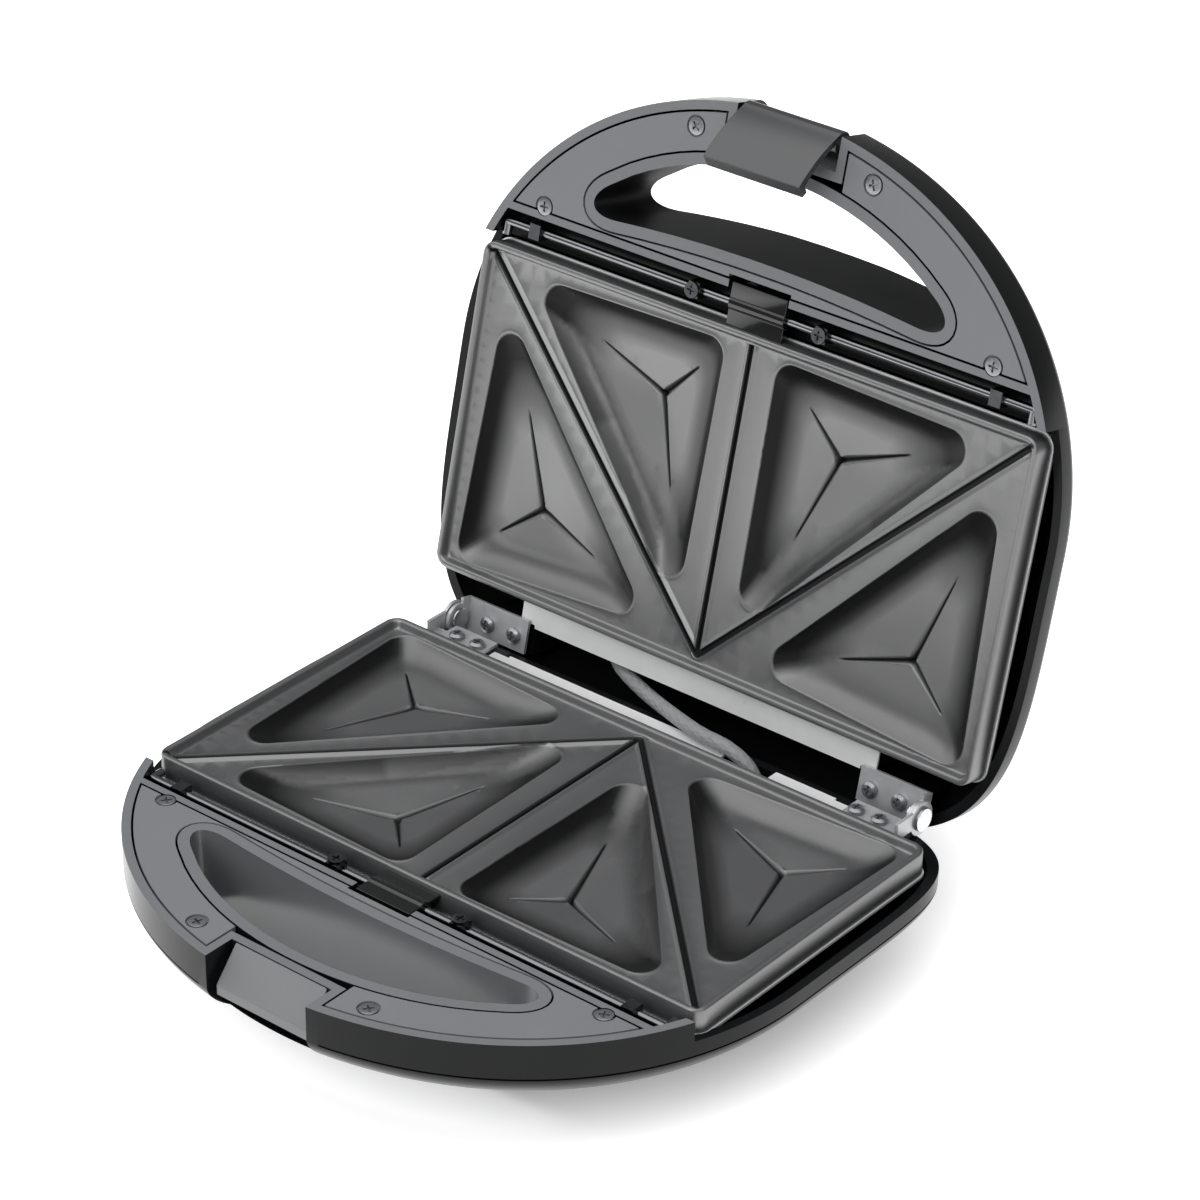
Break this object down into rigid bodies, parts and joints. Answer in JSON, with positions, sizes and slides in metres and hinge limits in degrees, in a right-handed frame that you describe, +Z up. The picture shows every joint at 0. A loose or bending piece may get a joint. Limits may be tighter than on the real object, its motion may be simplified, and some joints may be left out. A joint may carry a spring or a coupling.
{
  "type": "sandwich toaster",
  "caption": "Hinged sandwich toaster with triangular pocket plates, a split ring handle, a front latch clip, plate locks and a heating element behind each plate.",
  "frame": {"origin": "on the table, under the middle of the toaster's box as it stands open", "axes": "+X to the right seen from the handle, +Y towards the hinge, +Z up"},
  "size_m": [0.24, 0.279, 0.2376],
  "materials": {
    "housing": "glossy moulded plastic",
    "handle_face": "satin moulded plastic",
    "catch_plate": "satin moulded plastic",
    "latch_plastic": "glossy moulded plastic",
    "cast_plate": "dark non-stick coating on cast aluminium",
    "pan_steel": "bright aluminised sheet steel",
    "screw_steel": "zinc plated",
    "bracket_steel": "galvanised",
    "rod_steel": "bright plated wire",
    "element_steel": "heat darkened steel tube",
    "feet_rubber": "matt",
    "ceramic": "steatite ceramic",
    "brass": "plated",
    "wire_cover": "woven glass-fibre sleeve",
    "lens_red": "clear tinted plastic",
    "lens_green": "clear tinted plastic",
    "neon_glass": "clear glass"
  },
  "bodies": {
    "base": {"base_shell": "housing", "base_cover": "housing", "base_cover_screws": "screw_steel", "rubber_feet": "feet_rubber", "base_handle_cover": "handle_face", "base_handle_screws": "screw_steel", "latch_catch": "catch_plate", "lower_plate": "cast_plate", "lower_pan": "pan_steel", "lower_pan_screws": "screw_steel", "lower_element": "element_steel", "lower_element_supports": "element_steel", "thermostat": "ceramic", "thermal_fuse": "brass", "terminal_block": "ceramic", "inlet_wires": "wire_cover", "cord_bush": "feet_rubber", "earth_tag": "brass", "base_bracket_left": "bracket_steel", "base_bracket_right": "bracket_steel", "base_bracket_screws": "screw_steel", "hinge_rivet_left": "screw_steel", "hinge_rivet_right": "screw_steel", "lower_rod": "rod_steel", "lower_rod_clips": "rod_steel", "wire_sleeve": "wire_cover"},
    "lower_lock": {"lower_lock": "latch_plastic"},
    "lid": {"lid_shell": "housing", "lid_handle_cover": "handle_face", "lid_handle_screws": "screw_steel", "upper_plate": "cast_plate", "upper_pan": "pan_steel", "upper_pan_screws": "screw_steel", "upper_element": "element_steel", "upper_element_supports": "element_steel", "lid_bracket_left": "bracket_steel", "lid_bracket_right": "bracket_steel", "lid_bracket_screws": "screw_steel", "upper_rod": "rod_steel", "upper_rod_clips": "rod_steel", "power_lens": "lens_red", "ready_lens": "lens_green", "lamp_holder": "ceramic", "neon_lamps": "neon_glass"},
    "upper_lock": {"upper_lock": "latch_plastic"},
    "latch_pin": {"latch_pin": "screw_steel", "latch_spring": "rod_steel"},
    "latch_clip": {"latch_clip": "latch_plastic"}
  },
  "joints": [
    {"name": "lid_hinge", "type": "hinge", "parent": "base", "child": "lid", "pos_m": [0, 0.0604, 0.04385], "axis": [1, 0, 0], "range_deg": [0, 103.7], "deforming": ["wire_sleeve"]},
    {"name": "latch_hang", "type": "hinge", "parent": "lid", "child": "latch_pin", "pos_m": [0, 0.11349, 0.23357], "axis": [1, 0, 0], "range_deg": [-41.5, 0]},
    {"name": "latch_clip_hinge", "type": "hinge", "parent": "latch_pin", "child": "latch_clip", "pos_m": [0, 0.11349, 0.23357], "axis": [1, 0, 0], "range_deg": [-55, 0]},
    {"name": "lower_lock_hinge", "type": "hinge", "parent": "base", "child": "lower_lock", "pos_m": [0, -0.0765, 0.042], "axis": [1, 0, 0], "range_deg": [0, 10], "stiffness_Nm_per_rad": 0.02},
    {"name": "upper_lock_hinge", "type": "hinge", "parent": "lid", "child": "upper_lock", "pos_m": [0, 0.0988, 0.1754], "axis": [1, 0, 0], "range_deg": [-10, 0], "stiffness_Nm_per_rad": 0.02}
  ],
  "couplings": [
    {"joint": "latch_hang", "follows": "lid_hinge", "ratio": -0.4}
  ]
}
